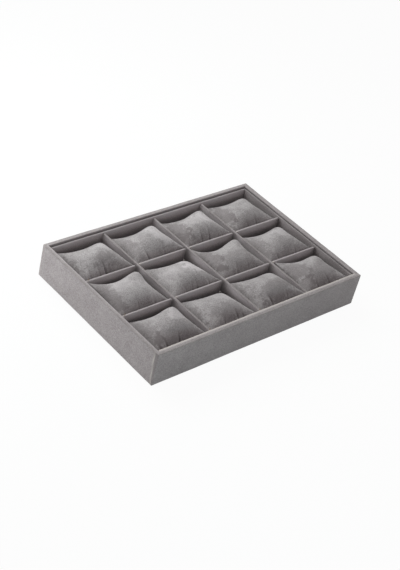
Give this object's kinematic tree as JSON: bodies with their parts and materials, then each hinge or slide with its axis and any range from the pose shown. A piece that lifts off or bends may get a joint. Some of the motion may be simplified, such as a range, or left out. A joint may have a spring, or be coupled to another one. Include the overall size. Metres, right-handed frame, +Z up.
{
  "type": "jewelry drawer insert",
  "caption": "Low velvet-covered tray divided into a grid of compartments, each with a stuffed velvet pillow that lifts out to hold a watch or bracelet.",
  "frame": {"origin": "middle of the underside, on the surface that the tray stands on", "axes": "+X along the long front wall to the right, +Y from the front wall to the back, +Z up"},
  "size_m": [0.36, 0.24, 0.051],
  "materials": {
    "tray_velvet": "short pile, matt",
    "pillow_velvet": "short pile, matt",
    "underside_cloth": "non-woven, matt",
    "fibre_fill": "loose fibre",
    "fibreboard": "raw pressed fibre",
    "greyboard": "raw pressed paper"
  },
  "bodies": {
    "tray": {"base_board": "fibreboard", "underside_cloth": "underside_cloth", "floor_card": "greyboard", "floor_velvet": "tray_velvet", "front_wall_board": "fibreboard", "front_wall_wrap": "tray_velvet", "front_liner_card": "greyboard", "front_liner_velvet": "tray_velvet", "back_wall_board": "fibreboard", "back_wall_wrap": "tray_velvet", "back_liner_card": "greyboard", "back_liner_velvet": "tray_velvet", "left_wall_board": "fibreboard", "left_wall_wrap": "tray_velvet", "left_liner_card": "greyboard", "left_liner_velvet": "tray_velvet", "right_wall_board": "fibreboard", "right_wall_wrap": "tray_velvet", "right_liner_card": "greyboard", "right_liner_velvet": "tray_velvet", "long_divider_1_card": "greyboard", "long_divider_1_velvet": "tray_velvet", "long_divider_2_card": "greyboard", "long_divider_2_velvet": "tray_velvet", "cross_divider_1_card": "greyboard", "cross_divider_1_velvet": "tray_velvet", "cross_divider_2_card": "greyboard", "cross_divider_2_velvet": "tray_velvet", "cross_divider_3_card": "greyboard", "cross_divider_3_velvet": "tray_velvet"},
    "pillow_a1": {"pillow_a1_cover": "pillow_velvet", "pillow_a1_filling": "fibre_fill"},
    "pillow_a2": {"pillow_a2_cover": "pillow_velvet", "pillow_a2_filling": "fibre_fill"},
    "pillow_a3": {"pillow_a3_cover": "pillow_velvet", "pillow_a3_filling": "fibre_fill"},
    "pillow_a4": {"pillow_a4_cover": "pillow_velvet", "pillow_a4_filling": "fibre_fill"},
    "pillow_b1": {"pillow_b1_cover": "pillow_velvet", "pillow_b1_filling": "fibre_fill"},
    "pillow_b2": {"pillow_b2_cover": "pillow_velvet", "pillow_b2_filling": "fibre_fill"},
    "pillow_b3": {"pillow_b3_cover": "pillow_velvet", "pillow_b3_filling": "fibre_fill"},
    "pillow_b4": {"pillow_b4_cover": "pillow_velvet", "pillow_b4_filling": "fibre_fill"},
    "pillow_c1": {"pillow_c1_cover": "pillow_velvet", "pillow_c1_filling": "fibre_fill"},
    "pillow_c2": {"pillow_c2_cover": "pillow_velvet", "pillow_c2_filling": "fibre_fill"},
    "pillow_c3": {"pillow_c3_cover": "pillow_velvet", "pillow_c3_filling": "fibre_fill"},
    "pillow_c4": {"pillow_c4_cover": "pillow_velvet", "pillow_c4_filling": "fibre_fill"}
  },
  "joints": [
    {"name": "pillow_a1_lift", "type": "slide", "parent": "tray", "child": "pillow_a1", "axis": [0, 0, 1], "range_m": [0, 0.06]},
    {"name": "pillow_a2_lift", "type": "slide", "parent": "tray", "child": "pillow_a2", "axis": [0, 0, 1], "range_m": [0, 0.06]},
    {"name": "pillow_a3_lift", "type": "slide", "parent": "tray", "child": "pillow_a3", "axis": [0, 0, 1], "range_m": [0, 0.06]},
    {"name": "pillow_a4_lift", "type": "slide", "parent": "tray", "child": "pillow_a4", "axis": [0, 0, 1], "range_m": [0, 0.06]},
    {"name": "pillow_b1_lift", "type": "slide", "parent": "tray", "child": "pillow_b1", "axis": [0, 0, 1], "range_m": [0, 0.06]},
    {"name": "pillow_b2_lift", "type": "slide", "parent": "tray", "child": "pillow_b2", "axis": [0, 0, 1], "range_m": [0, 0.06]},
    {"name": "pillow_b3_lift", "type": "slide", "parent": "tray", "child": "pillow_b3", "axis": [0, 0, 1], "range_m": [0, 0.06]},
    {"name": "pillow_b4_lift", "type": "slide", "parent": "tray", "child": "pillow_b4", "axis": [0, 0, 1], "range_m": [0, 0.06]},
    {"name": "pillow_c1_lift", "type": "slide", "parent": "tray", "child": "pillow_c1", "axis": [0, 0, 1], "range_m": [0, 0.06]},
    {"name": "pillow_c2_lift", "type": "slide", "parent": "tray", "child": "pillow_c2", "axis": [0, 0, 1], "range_m": [0, 0.06]},
    {"name": "pillow_c3_lift", "type": "slide", "parent": "tray", "child": "pillow_c3", "axis": [0, 0, 1], "range_m": [0, 0.06]},
    {"name": "pillow_c4_lift", "type": "slide", "parent": "tray", "child": "pillow_c4", "axis": [0, 0, 1], "range_m": [0, 0.06]}
  ]
}
